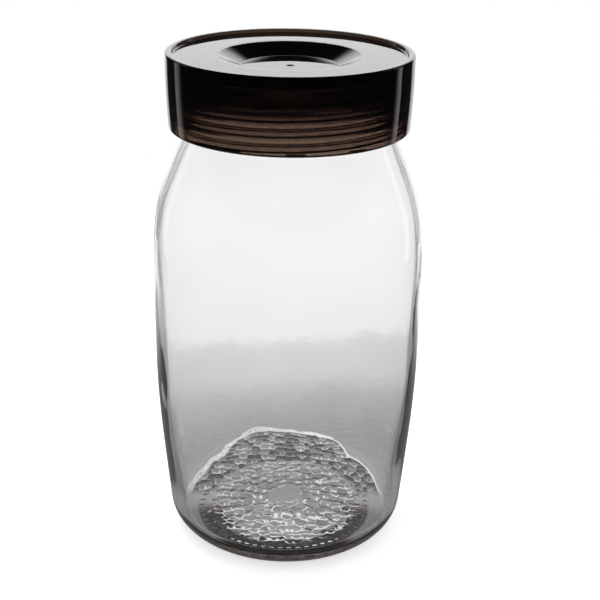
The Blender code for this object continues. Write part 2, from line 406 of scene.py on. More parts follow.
def wall_outside(steps):
    """The outer wall from the heel's end, over the widest ring and the shoulder, to the neck."""
    foot = heel_end()
    widest = (BODY_RADIUS, WIDEST_HEIGHT)
    lower_rise = WIDEST_HEIGHT - foot[1]
    foot_pull = lower_rise * LOWER_PULL_SHARES[0]
    lower = bezier(
        foot,
        (foot[0] + foot_pull * math.sin(WALL_LEAN), foot[1] + foot_pull * math.cos(WALL_LEAN)),
        (BODY_RADIUS, WIDEST_HEIGHT - lower_rise * LOWER_PULL_SHARES[1]),
        widest,
        steps,
    )
    shoulder = (NECK_RADIUS + NECK_FILLET * (1 - math.cos(SHOULDER_LEAN)), SHOULDER_HEIGHT)
    upper_rise = SHOULDER_HEIGHT - WIDEST_HEIGHT
    shoulder_pull = upper_rise * UPPER_PULL_SHARES[1]
    upper = bezier(
        widest,
        (BODY_RADIUS, WIDEST_HEIGHT + upper_rise * UPPER_PULL_SHARES[0]),
        (
            shoulder[0] + shoulder_pull * math.sin(SHOULDER_LEAN),
            shoulder[1] - shoulder_pull * math.cos(SHOULDER_LEAN),
        ),
        shoulder,
        steps,
    )
    centre = (NECK_RADIUS + NECK_FILLET, SHOULDER_HEIGHT + NECK_FILLET * math.sin(SHOULDER_LEAN))
    root = arc(centre, NECK_FILLET, math.pi + SHOULDER_LEAN, math.pi, steps=4)
    return joined(lower, upper, root)


def wall_thickness(height):
    """Thick at the heel, thin at the widest ring, thick again at the neck."""
    foot = heel_end()[1]
    if height < WIDEST_HEIGHT:
        share = smooth_step((height - foot) / (WIDEST_HEIGHT - foot))
        return HEEL_WALL + (BODY_WALL - HEEL_WALL) * share
    share = smooth_step((height - WIDEST_HEIGHT) / (SHOULDER_HEIGHT - WIDEST_HEIGHT))
    return BODY_WALL + (NECK_WALL - BODY_WALL) * share


def wall_inside(outside):
    """The outer wall's points moved in by the glass's thickness, square to the wall."""
    points = np.array(outside)
    runs = np.gradient(points, axis=0)
    runs[0] = (math.sin(WALL_LEAN), math.cos(WALL_LEAN))
    runs[-1] = (0, 1)
    runs /= np.linalg.norm(runs, axis=1)[:, None]
    walls = np.array([wall_thickness(height) for height in points[:, 1]])
    return list(zip(points[:, 0] - walls * runs[:, 1], points[:, 1] + walls * runs[:, 0]))


def joined(*runs):
    """One outline from several, without the points that two runs share."""
    outline = []
    for run in runs:
        for point in run:
            if not outline or math.dist(outline[-1], point) > WELD:
                outline.append(point)
    return outline


def zoned(**runs):
    """An outline from named runs, and for each name the rows that it made."""
    outline, zones = [], {}
    for name, run in runs.items():
        first = len(outline)
        outline = joined(outline, run)
        zones[name] = (first, len(outline))
    return outline, zones


def jar_outline():
    """From the underside's centre up the wall, over the lip and down inside to the floor."""
    panel_radius = BEARING_RADIUS - BEARING_WIDTH - PANEL_SLOPE
    bearing_inner = (BEARING_RADIUS - BEARING_WIDTH, 0)
    heel_centre = (BEARING_RADIUS, HEEL_RADIUS)
    outside = wall_outside(steps=18)
    lip_height = JAR_HEIGHT - LIP_ROUNDING
    mouth_radius = NECK_RADIUS - NECK_WALL
    inside = wall_inside(outside)[::-1]
    foot = inside[-1]
    corner_centre = (
        foot[0] - FLOOR_CORNER * math.cos(WALL_LEAN),
        foot[1] + FLOOR_CORNER * math.sin(WALL_LEAN),
    )
    corner = arc(corner_centre, FLOOR_CORNER, -WALL_LEAN, -math.pi / 2, steps=10)
    return zoned(
        underside=dome(panel_radius, PANEL_STEP, PUSH_UP, steps=56)[::-1],
        slope=straight((panel_radius, PANEL_STEP), bearing_inner),
        bearing=straight(bearing_inner, (BEARING_RADIUS, 0)),
        heel=arc(heel_centre, HEEL_RADIUS, -math.pi / 2, -WALL_LEAN, steps=14),
        outer=outside,
        neck=straight(outside[-1], (NECK_RADIUS, lip_height), steps=110),
        lip=joined(
            arc((NECK_RADIUS - LIP_ROUNDING, lip_height), LIP_ROUNDING, 0, math.pi / 2),
            arc((mouth_radius + LIP_ROUNDING, lip_height), LIP_ROUNDING, math.pi / 2, math.pi),
        ),
        mouth=straight((mouth_radius, lip_height), inside[0], steps=3),
        inner=inside,
        corner=corner,
        floor=dome(*corner[-1], PUSH_UP + BASE_THICKNESS, steps=22),
    )


def lid_side(steps):
    """The skirt's outer side, from the rim down, drawn in towards the foot with a slight swell."""
    top_height = LID_HEIGHT - RIM_OUTER_ROUNDING
    shares = np.linspace(1, 0, steps + 1)
    radii = LID_FOOT_RADIUS + (LID_TOP_RADIUS - LID_FOOT_RADIUS) * shares
    heights = LID_FOOT_ROUNDING + (top_height - LID_FOOT_ROUNDING) * shares
    return list(zip(radii + SIDE_BULGE * 4 * shares * (1 - shares), heights))


def lid_outline():
    """From under the top out, down the bore, round the foot, up the skirt and over the top."""
    disc = LID_HEIGHT - RIM_RISE
    floor = disc - RECESS_DEPTH
    ceiling = disc - TOP_WALL
    slope = math.atan2(RECESS_DEPTH, RECESS_RADIUS - RECESS_FLOOR_RADIUS)
    under_shift = TOP_WALL * math.tan(slope / 2)
    rim_radius = LID_TOP_RADIUS - RIM_WIDTH
    recess_foot = fillet(
        (0, floor), (RECESS_FLOOR_RADIUS, floor), (RECESS_RADIUS, disc),
        RECESS_FOOT_FILLET, steps=6,
    )
    recess_edge = fillet(
        (RECESS_FLOOR_RADIUS, floor), (RECESS_RADIUS, disc), (rim_radius, disc),
        RECESS_EDGE_FILLET,
    )
    gate = []
    for *ends, rows in GATE_RUNS:
        start, end = ((GATE_RADIUS * out, floor - GATE_DEPTH * down) for out, down in ends)
        gate = joined(gate, straight(start, end, rows))
    root = (rim_radius - RIM_ROOT_FILLET, disc + RIM_ROOT_FILLET)
    inner = (rim_radius + RIM_INNER_ROUNDING, LID_HEIGHT - RIM_INNER_ROUNDING)
    outer = (LID_TOP_RADIUS - RIM_OUTER_ROUNDING, LID_HEIGHT - RIM_OUTER_ROUNDING)
    foot = (LID_FOOT_RADIUS - LID_FOOT_ROUNDING, LID_FOOT_ROUNDING)
    outline, zones = zoned(
        gate=gate,
        recess=joined(straight(gate[-1], recess_foot[0], steps=4), recess_foot, recess_edge),
        disc=straight(recess_edge[-1], (rim_radius - RIM_ROOT_FILLET, disc)),
        rim=joined(
            arc(root, RIM_ROOT_FILLET, -math.pi / 2, 0),
            arc(inner, RIM_INNER_ROUNDING, math.pi, math.pi / 2),
            arc(outer, RIM_OUTER_ROUNDING, math.pi / 2, 0, steps=7),
        ),
        side=lid_side(steps=16),
        foot=arc(foot, LID_FOOT_ROUNDING, 0, -math.pi / 2),
        chamfer=straight((BORE_RADIUS + BORE_CHAMFER, 0), (BORE_RADIUS, BORE_CHAMFER), steps=2),
        bore=straight((BORE_RADIUS, BORE_CHAMFER), (BORE_RADIUS, ceiling), steps=170),
        under=[
            (BORE_RADIUS, ceiling),
            (RECESS_RADIUS + under_shift, ceiling),
            (RECESS_FLOOR_RADIUS + under_shift, floor - TOP_WALL),
            (0, floor - TOP_WALL),
        ],
    )
    last = len(outline)
    flipped = {name: (last - end, last - start) for name, (start, end) in zones.items()}
    return [(radius, height + LID_BASE_HEIGHT) for radius, height in outline[::-1]], flipped


def placed(name, data):
    """A new object in the scene."""
    thing = bpy.data.objects.new(name, data)
    bpy.context.scene.collection.objects.link(thing)
    return thing


def turned(name, outline, round_steps, closed=False, zones=None, **masks):
    """A mesh turned about the axis. Each mask is 1 in the zones that it names, 0 elsewhere."""
    rows, first_of_row = [], []
    count = 0
    for radius, height in outline:
        steps = 1 if radius < WELD else round_steps
        angles = np.arange(steps) * math.tau / round_steps
        rows.append(np.column_stack((
            radius * np.cos(angles), radius * np.sin(angles), np.full(steps, height),
        )))
        first_of_row.append((count, steps))
        count += steps
    pairs = list(zip(first_of_row, first_of_row[1:]))
    if closed:
        pairs.append((first_of_row[-1], first_of_row[0]))
    faces = []
    for (low, low_steps), (high, high_steps) in pairs:
        for step in range(round_steps):
            after = (step + 1) % round_steps
            face = [low + step % low_steps, low + after % low_steps]
            face += [high + after % high_steps, high + step % high_steps]
            faces.append(list(dict.fromkeys(face)))
    mesh = bpy.data.meshes.new(name)
    mesh.from_pydata(np.vstack(rows).tolist(), [], faces)
    for mask, names in masks.items():
        values = np.zeros(count)
        for start, end in (zones[zone] for zone in names):
            last, steps = first_of_row[end - 1]
            values[first_of_row[start][0]:last + steps] = 1
        layer = mesh.attributes.new(mask, "FLOAT", "POINT")
        layer.data.foreach_set("value", values)
    mesh.shade_smooth()
    return placed(name, mesh)


# Node trees


class Field:
    """A socket, or a node's first output, that takes part in formulas as they are written."""

    def __init__(self, tree, socket):
        self.tree = tree
        self.socket = socket

    def maths(self, operation, *others):
        node = self.tree.nodes.new("ShaderNodeMath")
        node.operation = operation
        return Field(self.tree, plug_in_turn(self.tree, node, self, *others))

    def __rsub__(self, other):
        return (self * -1) + other

    __add__ = __radd__ = partialmethod(maths, "ADD")
    __sub__ = partialmethod(maths, "SUBTRACT")
    __mul__ = __rmul__ = partialmethod(maths, "MULTIPLY")
    __truediv__ = partialmethod(maths, "DIVIDE")
    __pow__ = partialmethod(maths, "POWER")


def plug(tree, socket, value):
    """Links a field, a socket or a node's first output into an input, or sets the input."""
    if isinstance(value, Field):
        value = value.socket
    if isinstance(value, bpy.types.Node):
        value = value.outputs[0]
    if isinstance(value, bpy.types.NodeSocket):
        tree.links.new(value, socket)
    else:
        socket.default_value = value


def plug_all(tree, node, **values):
    """Plugs a node's inputs by name."""
    for name, value in values.items():
        plug(tree, node.inputs[name.replace("_", " ")], value)


def plug_in_turn(tree, node, *values):
    """Plugs a node's inputs in their order."""
    for socket, value in zip(node.inputs, values):
        plug(tree, socket, value)
    return node


def node_of(tree, kind, settings=None, **values):
    """A new node with its settings and with its inputs plugged by name."""
    node = tree.nodes.new(kind)
    for name, value in (settings or {}).items():
        setattr(node, name, value)
    plug_all(tree, node, **values)
    return node


def step_between(field, low, high):
    """0 below one value and 1 above the other, smooth between."""
    node = node_of(
        field.tree, "ShaderNodeMapRange", {"interpolation_type": "SMOOTHERSTEP"},
        Value=field, From_Min=low, From_Max=high,
    )
    return Field(field.tree, node.outputs["Result"])


def fall_between(field, low, high):
    """1 below one value and 0 above the other, smooth between."""
    return 1 - step_between(field, low, high)


def band(field, start, full, fall, end):
    """1 between the two middle values, 0 outside the other two."""
    return step_between(field, start, full) * fall_between(field, fall, end)


def between(one, other, share):
    """The value that lies a share of the way from one to the other."""
    return one + (other - one) * share


def rule_tree(name, **inputs):
    """A geometry tree with named inputs. Returns the tree and a field for each input."""
    tree = bpy.data.node_groups.new(name, "GeometryNodeTree")
    tree.interface.new_socket("Geometry", in_out="INPUT", socket_type="NodeSocketGeometry")
    kinds = {int: "NodeSocketInt", float: "NodeSocketFloat", str: "NodeSocketMaterial"}
    for label, kind in inputs.items():
        tree.interface.new_socket(label, in_out="INPUT", socket_type=kinds[kind])
    tree.interface.new_socket("Geometry", in_out="OUTPUT", socket_type="NodeSocketGeometry")
    source = tree.nodes.new("NodeGroupInput")
    fields = {label: Field(tree, source.outputs[label]) for label in inputs}
    return tree, source.outputs["Geometry"], SimpleNamespace(**fields)


def finish_tree(tree, geometry, material):
    """Ends a tree in Realize Instances and Set Material, and returns it."""
    real = node_of(tree, "GeometryNodeRealizeInstances", Geometry=geometry)
    coated = node_of(tree, "GeometryNodeSetMaterial", Geometry=real, Material=material)
    node_of(tree, "NodeGroupOutput", Geometry=coated)
    return tree


def separated(tree, vector):
    """A vector's three numbers, as fields."""
    parts = node_of(tree, "ShaderNodeSeparateXYZ", Vector=vector).outputs
    return [Field(tree, part) for part in parts]


def hypotenuse(x, y):
    """The length of two numbers set at right angles."""
    return (x * x + y * y) ** 0.5


def position_fields(tree):
    """Fields of a point's place: x, y, z, distance from the axis and angle about it."""
    x, y, z = separated(tree, tree.nodes.new("GeometryNodeInputPosition"))
    return x, y, z, hypotenuse(x, y), y.maths("ARCTAN2", x)


def named_field(tree, name):
    """The field of a float attribute."""
    node = node_of(tree, "GeometryNodeInputNamedAttribute", {"data_type": "FLOAT"}, Name=name)
    return Field(tree, node.outputs["Attribute"])


def combined(tree, x=0, y=0, z=0):
    """A vector from three numbers or fields."""
    return node_of(tree, "ShaderNodeCombineXYZ", X=x, Y=y, Z=z)


def moved(tree, geometry, offset):
    """The geometry with its points moved."""
    return node_of(tree, "GeometryNodeSetPosition", Geometry=geometry, Offset=offset)


def on_circle(tree, radius, angle, z=0):
    """A vector to a place on a circle about the axis."""
    return combined(tree, radius * angle.maths("COSINE"), radius * angle.maths("SINE"), z)


def flat_noise(tree, place):
    """Noise over a plane, from 0 to 1."""
    settings = {"noise_dimensions": "2D"}
    return Field(tree, node_of(tree, "ShaderNodeTexNoise", settings, Detail=2, Vector=place))


def thread_centre(z, angle, top, end_angle, pitch):
    """The height of a thread's nearest turn."""
    here = top + pitch * (angle - end_angle) / math.tau
    return here + ((z - here) / pitch).maths("ROUND") * pitch


def thread_tree(name):
    """A helical ridge that grows out of, or into, a turned wall."""
    tree, geometry, given = rule_tree(
        name, Height=float, Pitch=float, End_angle=float, Top=float, Turns=float,
        Flat=float, Flank=float, Fade=float, Material=str,
    )
    x, y, z, radius, angle = position_fields(tree)
    top, pitch, fade = given.Top, given.Pitch, given.Fade
    centre = thread_centre(z, angle, top, given.End_angle, pitch)
    off = (z - centre).maths("ABSOLUTE")
    ridge = fall_between(off, given.Flat / 2, given.Flat / 2 + given.Flank)
    bottom = top - pitch * given.Turns
    run = band(centre, bottom, bottom + fade, top - fade, top)
    out = ridge * run * given.Height * named_field(tree, "thread") / radius
    geometry = moved(tree, geometry, combined(tree, x * out, y * out))
    return finish_tree(tree, geometry, given.Material)


def hammered_tree():
    """Rings of dished cells under the base, and the short marks of the bearing ring."""
    tree, geometry, given = rule_tree(
        "hammered_base", Rows=int, First_count=int, Added_count=int, First_radius=float,
        Row_spacing=float, Jitter=float, Seed=int, Depth=float, Disc_radius=float,
        Mark_count=int, Mark_depth=float, Material=str,
    )
    rows, first, added = given.Rows, given.First_count, given.Added_count
    total = rows * first + added * rows * (rows - 1) / 2
    dots = node_of(tree, "GeometryNodePoints", Count=total)
    index = Field(tree, tree.nodes.new("GeometryNodeInputIndex"))
    slope = 2 * first - added
    root = (slope * slope + 8 * added * (index + 0.5)) ** 0.5
    row = ((root - slope) / (2 * added)).maths("FLOOR")
    place_in_row = index - (row * first + added * row * (row - 1) / 2)
    in_row = first + added * row
    shift = node_of(
        tree, "FunctionNodeRandomValue", {"data_type": "FLOAT"}, ID=row, Seed=given.Seed
    ).outputs[1]
    angle = (place_in_row + shift) * math.tau / in_row
    radius = given.First_radius + given.Row_spacing * row * (1 + row * CELL_SPREAD)
    jitter = node_of(
        tree, "FunctionNodeRandomValue", {"data_type": "FLOAT_VECTOR"},
        Seed=given.Seed + 1, Min=(-1, -1, 0),
    )
    nudge = node_of(
        tree, "ShaderNodeVectorMath", {"operation": "SCALE"},
        Vector=jitter, Scale=given.Jitter,
    )
    dots = node_of(
        tree, "GeometryNodeSetPosition",
        Geometry=dots, Position=on_circle(tree, radius, angle), Offset=nudge,
    )

    x, y, z, from_axis, turn = position_fields(tree)
    near = node_of(
        tree, "GeometryNodeProximity", {"target_element": "POINTS"},
        Geometry=dots, Sample_Position=combined(tree, x, y),
    )
    cell = given.Row_spacing * CELL_REACH + from_axis * CELL_GROWTH
    reach = Field(tree, near.outputs["Distance"]) / cell
    disc = given.Disc_radius
    outside_disc = step_between(from_axis, disc * DISC_FADE, disc)
    dish = (1 - reach * reach) * given.Depth
    lift = dish * outside_disc * named_field(tree, "cells")
    wave = (turn * given.Mark_count).maths("COSINE")
    marks = step_between(wave, *MARK_EDGE) * given.Mark_depth * named_field(tree, "marks")
    rough = flat_noise(tree, on_circle(tree, PLEAT_SCALE, turn))
    pleats = (rough - 0.5) * given.Depth * 2 * named_field(tree, "pleats")
    lifted = (z + lift + marks + pleats).maths("MAXIMUM", 0)
    geometry = moved(tree, geometry, combined(tree, z=lifted - z))
    return finish_tree(tree, geometry, given.Material)


def wave_tree():
    """Slow swells of a blown wall, along its normals."""
    tree, geometry, given = rule_tree("blown_wall", Outer=float, Inner=float, Material=str)
    x, y, z = position_fields(tree)[:3]
    normal = tree.nodes.new("GeometryNodeInputNormal")

    def swell(shift, size):
        noise = node_of(
            tree, "ShaderNodeTexNoise", {"noise_dimensions": "3D"}, Detail=WAVE_DETAIL,
            Vector=combined(tree, x * WAVE_ACROSS + shift, y * WAVE_ACROSS, z * WAVE_UP),
        )
        return (Field(tree, noise) - 0.5) * size * 2

    outer = swell(0, given.Outer) * named_field(tree, "outer")
    inner = swell(INNER_WAVE_SHIFT, given.Inner) * named_field(tree, "inner")
    offset = node_of(
        tree, "ShaderNodeVectorMath", {"operation": "SCALE"}, Vector=normal, Scale=outer + inner
    )
    return finish_tree(tree, moved(tree, geometry, offset), given.Material)


def notch_tree():
    """Blocks in a ring, cut out of the foot of the lid's skirt."""
    tree, geometry, given = rule_tree(
        "foot_notches", Count=int, Start=float, Radius=float, Depth=float, Width=float,
        Height=float, Level=float, Material=str,
    )
    index = Field(tree, tree.nodes.new("GeometryNodeInputIndex"))
    angle = index * math.tau / given.Count + given.Start
    spot = on_circle(tree, given.Radius, angle, given.Level)
    dots = node_of(tree, "GeometryNodePoints", Count=given.Count, Position=spot)
    block = node_of(
        tree, "GeometryNodeMeshCube",
        Size=combined(tree, given.Depth * 2, given.Width, given.Height * 2),
    )
    turn = node_of(tree, "FunctionNodeEulerToRotation", Euler=combined(tree, z=angle))
    ring = node_of(
        tree, "GeometryNodeInstanceOnPoints", Points=dots, Instance=block, Rotation=turn
    )
    real = node_of(tree, "GeometryNodeRealizeInstances", Geometry=ring)
    cut = node_of(
        tree, "GeometryNodeMeshBoolean", {"operation": "DIFFERENCE"},
        Mesh_1=geometry, Mesh_2=real,
    )
    return finish_tree(tree, cut, given.Material)


def grown(piece, tree, **values):
    """Runs a tree on a piece and keeps the result as the piece's plain mesh."""
    modifier = piece.modifiers.new(tree.name, "NODES")
    modifier.node_group = tree
    for socket in tree.interface.items_tree:
        if socket.in_out == "INPUT" and socket.name in values:
            modifier[socket.identifier] = values[socket.name]
    graph = bpy.context.evaluated_depsgraph_get()
    mesh = bpy.data.meshes.new_from_object(
        piece.evaluated_get(graph), preserve_all_data_layers=True, depsgraph=graph
    )
    piece.modifiers.remove(modifier)
    old = piece.data
    piece.data = mesh
    bpy.data.meshes.remove(old)
    mesh.name = piece.name


# Finishes


def finish_of(name, **values):
    """A new material, its tree and its Principled shader, with inputs plugged by name."""
    material = bpy.data.materials.new(name)
    material.use_nodes = True
    tree = material.node_tree
    surface = tree.nodes["Principled BSDF"]
    plug_all(tree, surface, Metallic=0, **values)
    return material, tree, surface


def object_place(tree):
    """A point's place in the piece's own coordinates."""
    return tree.nodes.new("ShaderNodeTexCoord").outputs["Object"]


def object_noise(tree, scale, detail, stretch=(1, 1, 1)):
    """Noise on the piece's own coordinates, from 0 to 1."""
    mapped = node_of(tree, "ShaderNodeMapping", Vector=object_place(tree), Scale=stretch)
    noise = node_of(tree, "ShaderNodeTexNoise", Vector=mapped, Scale=scale, Detail=detail)
    return Field(tree, noise)


def mixed(tree, share, one, other):
    """One colour passing into another."""
    settings = {"data_type": "RGBA"}
    node = node_of(tree, "ShaderNodeMix", settings, Factor=share, A=one, B=other)
    return node.outputs["Result"]


def bumped(tree, height, strength, distance=1 * MM):
    """The surface's direction with a relief in it."""
    return node_of(
        tree, "ShaderNodeBump", Strength=strength, Distance=distance, Height=height
    )


def fill_with_tint(tree, colour, density):
    """Makes a solid that takes up light on its way through."""
    body = node_of(tree, "ShaderNodeVolumeAbsorption", Color=(*colour, 1), Density=density)
    plug_all(tree, tree.nodes["Material Output"], Volume=body)


def clear_glass(settings):
    """Clear blown glass: faint ripples, and painted shade in its tint where a wall turns away from
    the eye.
    """
    material, tree, surface = finish_of(
        "clear_glass", Roughness=0, IOR=1.5, Transmission_Weight=1
    )
    facing = Field(tree, node_of(tree, "ShaderNodeLayerWeight", Blend=0.5).outputs["Facing"])
    inside = node_of(tree, "ShaderNodeAttribute", {"attribute_name": "inside"}).outputs["Fac"]
    inside = Field(tree, inside)
    height = separated(tree, object_place(tree))[2]
    # Painted shade: the tint darkens in bands where the outer wall turns away, low down, at the
    # heel and high up, and in a line where the inner wall turns away
    low = fall_between(height, *LOW_HEIGHTS)
    heel = fall_between(height, *HEEL_HEIGHTS)
    outer_line = (
        step_between(facing, *LOW_LINE) * low * LOW_LINE_SHARE
        + band(facing, *HEEL_LINE) * heel * HEEL_LINE_SHARE
        + band(facing, *HIGH_LINE) * (1 - low) * HIGH_LINE_SHARE
    )
    dark = between(outer_line, step_between(facing, *INNER_LINE), inside).maths("MINIMUM", 1)
    ripple = object_noise(tree, scale=60, detail=2, stretch=(1, 1, 0.3))
    plug_all(
        tree, surface,
        Base_Color=mixed(tree, dark, WHITE, GLASS_PAINTED_SHADE),
        Normal=bumped(tree, ripple, strength=0.05),
    )
    fill_with_tint(tree, settings.tint, settings.tint_density)
    return material


def smoked_plastic(settings):
    """Smoked brown plastic: glossy, see-through where thin, with painted shade in its tint at the
    top and in lines at the thread.
    """
    material, tree, surface = finish_of("smoked_plastic", IOR=1.55, Transmission_Weight=1)
    fine = object_noise(tree, scale=900, detail=3)
    x, y, height = separated(tree, object_place(tree))
    # Painted shade: the tint darkens towards the top, a little less on the rim
    rim = step_between(height, *RIM_HEIGHTS)
    dark = step_between(height, *TOP_HEIGHTS) * (1 - rim * RIM_PALER)
    # Painted shade: dark lines along the flanks of the lid's thread in the bore
    angle = y.maths("ARCTAN2", x)
    centre = thread_centre(height, angle, LID_THREAD["Top"], LID_THREAD["End_angle"], PITCH)
    flank = band((height - centre).maths("ABSOLUTE"), *THREAD_LINE)
    flank = flank * fall_between(hypotenuse(x, y), *BORE_SKIN)
    dark = between(dark, 1, flank * THREAD_LINE_SHARE)
    ripple = object_noise(tree, scale=70, detail=2)
    plug_all(
        tree, surface,
        Roughness=step_between(fine, 0.35, 0.9) * 0.05,
        Base_Color=mixed(tree, dark, PLASTIC_CLEAR, PLASTIC_PAINTED_SHADE),
        Normal=bumped(tree, ripple, strength=0.012),
    )
    fill_with_tint(tree, settings.smoke, settings.smoke_density)
    return material


def ring_rubber(settings):
    """Matt rubber with a fine grain."""
    material, tree, surface = finish_of("ring_rubber", Specular_IOR_Level=0.35)
    grain = object_noise(tree, scale=1400, detail=3)
    paler = [channel * 1.6 for channel in settings.colour]
    plug_all(
        tree, surface,
        Roughness=between(0.55, 0.75, step_between(grain, 0.2, 0.8)),
        Base_Color=mixed(tree, grain, (*settings.colour, 1), (*paler, 1)),
        Normal=bumped(tree, grain, strength=0.2, distance=0.2 * MM),
    )
    return material


# The studio


def build_floor(settings):
    """A round pale floor: white to the camera with the lamp's real shadow, and glowing with
    painted light and shade in the glass and in reflections.
    """
    edge = arc((0, 0), settings.floor_size, 0, math.tau, FLOOR_STEPS)[:-1]
    mesh = bpy.data.meshes.new("floor")
    mesh.from_pydata([(*point, 0) for point in edge], [], [list(range(FLOOR_STEPS))])
    floor = placed("floor", mesh)
    material = bpy.data.materials.new("pale_floor")
    material.use_nodes = True
    material.cycles.emission_sampling = "NONE"
    tree = material.node_tree
    tree.nodes.clear()
    path = tree.nodes.new("ShaderNodeLightPath").outputs
    paint = node_of(tree, "ShaderNodeBsdfDiffuse", Color=(0.8, 0.8, 0.8, 1))
    glow = node_of(tree, "ShaderNodeEmission", Color=WHITE, Strength=0.55)
    seen = plug_in_turn(tree, tree.nodes.new("ShaderNodeAddShader"), paint, glow)

    x, y = separated(tree, object_place(tree))[:2]
    from_jar = hypotenuse(x, y)
    sent, tone = floor_shades(x, y, from_jar)
    # Painted reflection: in mirrored light the floor glows darker near the jar, with its own share
    # beside the jar's sides
    side = step_between(x.maths("ABSOLUTE") - y * SIDE_SLANT, *SIDE_EDGE)
    elsewhere = between(*MIRROR_LIGHTS, step_between(from_jar, *MIRROR_RISE))
    beside = fall_between(from_jar, *SIDE_FALL) * SIDE_LIGHT
    mirrored = between(elsewhere, beside, side) + MIRROR_DIM
    # The floor glows with painted light and shade for rays through the glass and for reflections;
    # the camera sees it lit by the lamp
    strength = between(mirrored, sent, Field(tree, path["Is Transmission Ray"]))
    shade = node_of(tree, "ShaderNodeEmission", Color=tone, Strength=strength)
    mix = tree.nodes.new("ShaderNodeMixShader")
    plug_in_turn(tree, mix, path["Is Camera Ray"], shade, seen)
    node_of(tree, "ShaderNodeOutputMaterial", Surface=mix)
    floor.data.materials.append(material)


def floor_shades(x, y, from_jar):
    """Painted light and shade on the floor as seen through the glass: its brightness and its
    colour.
    """
    tree = x.tree
    uneven = flat_noise(tree, combined(tree, x * UNEVEN_SCALE, y * UNEVEN_SCALE)) - 0.5
    # Painted shade: the floor seen through the glass is darker in a pool round the jar
    away = from_jar - x.maths("MAXIMUM", 0) * PAINTED_SHADE_SHIFT + uneven * PAINTED_SHADE_WAVE
    grey = toned(away, FLOOR_PAINTED_SHADE)
    grey = with_painted_rim_and_facets(grey, x, y, from_jar, uneven)
    return with_painted_base_light_and_shade(grey, x, y, from_jar)


def toned(distance, tones):
    """The brightness that a list of distances and tones gives."""
    tree, end = distance.tree, tones[-1][0]
    ramp = tree.nodes.new("ShaderNodeValToRGB")
    elements = ramp.color_ramp.elements
    for place, _ in tones[1:-1]:
        elements.new(place / end)
    for element, (place, value) in zip(elements, tones):
        element.position = place / end
        element.color = (value, value, value, 1)
    plug(tree, ramp.inputs[0], distance / end)
    return Field(tree, ramp.outputs["Color"])


def scales(tree, across, along):
    """Irregular scales: nearness to a border, place on the near side, a number for each scale."""
    spot = combined(tree, across, along)

    def cells(feature):
        settings = {"voronoi_dimensions": "2D", "feature": feature}
        return node_of(
            tree, "ShaderNodeTexVoronoi", settings, Scale=1, Randomness=0.92, Vector=spot
        ).outputs

    whole = cells("F1")
    centre = separated(tree, whole["Position"])[1]
    border = Field(tree, cells("DISTANCE_TO_EDGE")["Distance"])
    return border, centre - along, Field(tree, whole["Color"])


def with_painted_rim_and_facets(grey, x, y, from_jar, uneven):
    """Adds painted light and shade behind the base: dark facets with painted glints inside a
    bright, broken rim of painted caustic light.
    """
    tree, sine = grey.tree, y / from_jar
    behind = step_between(sine, *BEHIND)
    reach = uneven * BORDER_WAVE + BORDER_REACH
    for span, rise in BORDER_BULGES:
        reach = reach + step_between(sine, *span) * rise
    leftwards = step_between(x * -1, *LEFTWARDS)
    width = between(*BORDER_WIDTHS, leftwards)
    spot = combined(tree, x * BREAK_SCALES[0], y * BREAK_SCALES[1])
    breaks = fall_between(flat_noise(tree, spot), *BREAK_STEP)
    # Painted light: a bright, broken caustic rim round the back of the base
    rim = band(from_jar, reach - width, reach - width * BORDER_FULL, reach, reach + BORDER_FALL)
    rim = rim * behind * (1 - between(*BORDER_GAPS, leftwards) * breaks)

    # Painted shade and highlights: dark facets with glints on their near sides
    edge, nearer, tone = scales(tree, x * FACET_SCALES[0], y * FACET_SCALES[1])
    glint = fall_between(edge, *FACET_EDGE) * step_between(nearer, *FACET_NEAR)
    facet = between(*FACET_TONES, step_between(tone, *FACET_STEP)) + nearer * FACET_SLOPE
    facet = facet + glint * between(*GLINT_LIGHTS, step_between(tone, *GLINT_STEP))
    within = band(from_jar, *FACET_START, reach - FACET_FALL, reach) * behind
    return between(between(grey, facet, within), CAUSTIC_RIM_LIGHT, rim)


def with_painted_base_light_and_shade(grey, x, y, from_jar):
    """Adds painted light and shade for the base: bright crescents on the hammered cells, a dark
    ring of shade in front and light through the bearing marks.
    """
    tree, sine = grey.tree, y / from_jar
    ahead = step_between(y * -1, *AHEAD)
    # Painted highlights: bright crescents on the near side of each hammered cell
    edge, nearer, tone = scales(tree, x * BASE_SCALE, y * BASE_SCALE)
    thin, thick = between(*BASE_EDGE_STARTS, ahead), between(*BASE_EDGE_ENDS, ahead)
    crescent = step_between(nearer, *BASE_NEAR) * fall_between(edge, thin, thick)
    from_disc = hypotenuse(x, y - DISC_SET_BACK) + (tone - 0.5) * DISC_UNEVEN
    disc = fall_between(from_disc, *DISC_EDGE)
    hammered = (1 - disc) * fall_between(from_jar, *BASE_END)

    # Painted shade: a brownish dark ring under the front of the heel, and dimmer light beside it
    front = fall_between(sine, *FRONT)
    ring = step_between(from_jar + (tone - 0.5) * DARK_UNEVEN, *DARK_START)
    ring = ring * fall_between(from_jar, *DARK_END)
    under = band(from_jar, *UNDER_BAND)
    dark = (ring * front + under * fall_between(sine, *UNDER_FRONT)).maths("MINIMUM", 1)
    # Painted light: bright dashes where light comes through the bearing ring's marks
    dashes = step_between((y.maths("ARCTAN2", x) * MARK_COUNT).maths("COSINE"), *DASH_EDGE)
    dashes = dashes * band(from_jar, *DASH_BAND) * fall_between(sine, *DASH_FRONT)

    cell = nearer * BASE_SLOPE + (tone - 0.5) * BASE_TONE - BASE_DARKER
    grey = grey + cell * hammered - disc * DISC_DARKER
    grey = between(grey, BESIDE_LIGHT, under * front * (1 - dark))
    grey = between(grey, DARK_LIGHT, dark)
    grey = between(grey, BASE_LIGHT, crescent * hammered)
    grey = between(grey, DASH_LIGHT, dashes)
    return grey, mixed(tree, dark * (1 - dashes) * (1 - crescent), WHITE, PAINTED_SHADE_TINT)


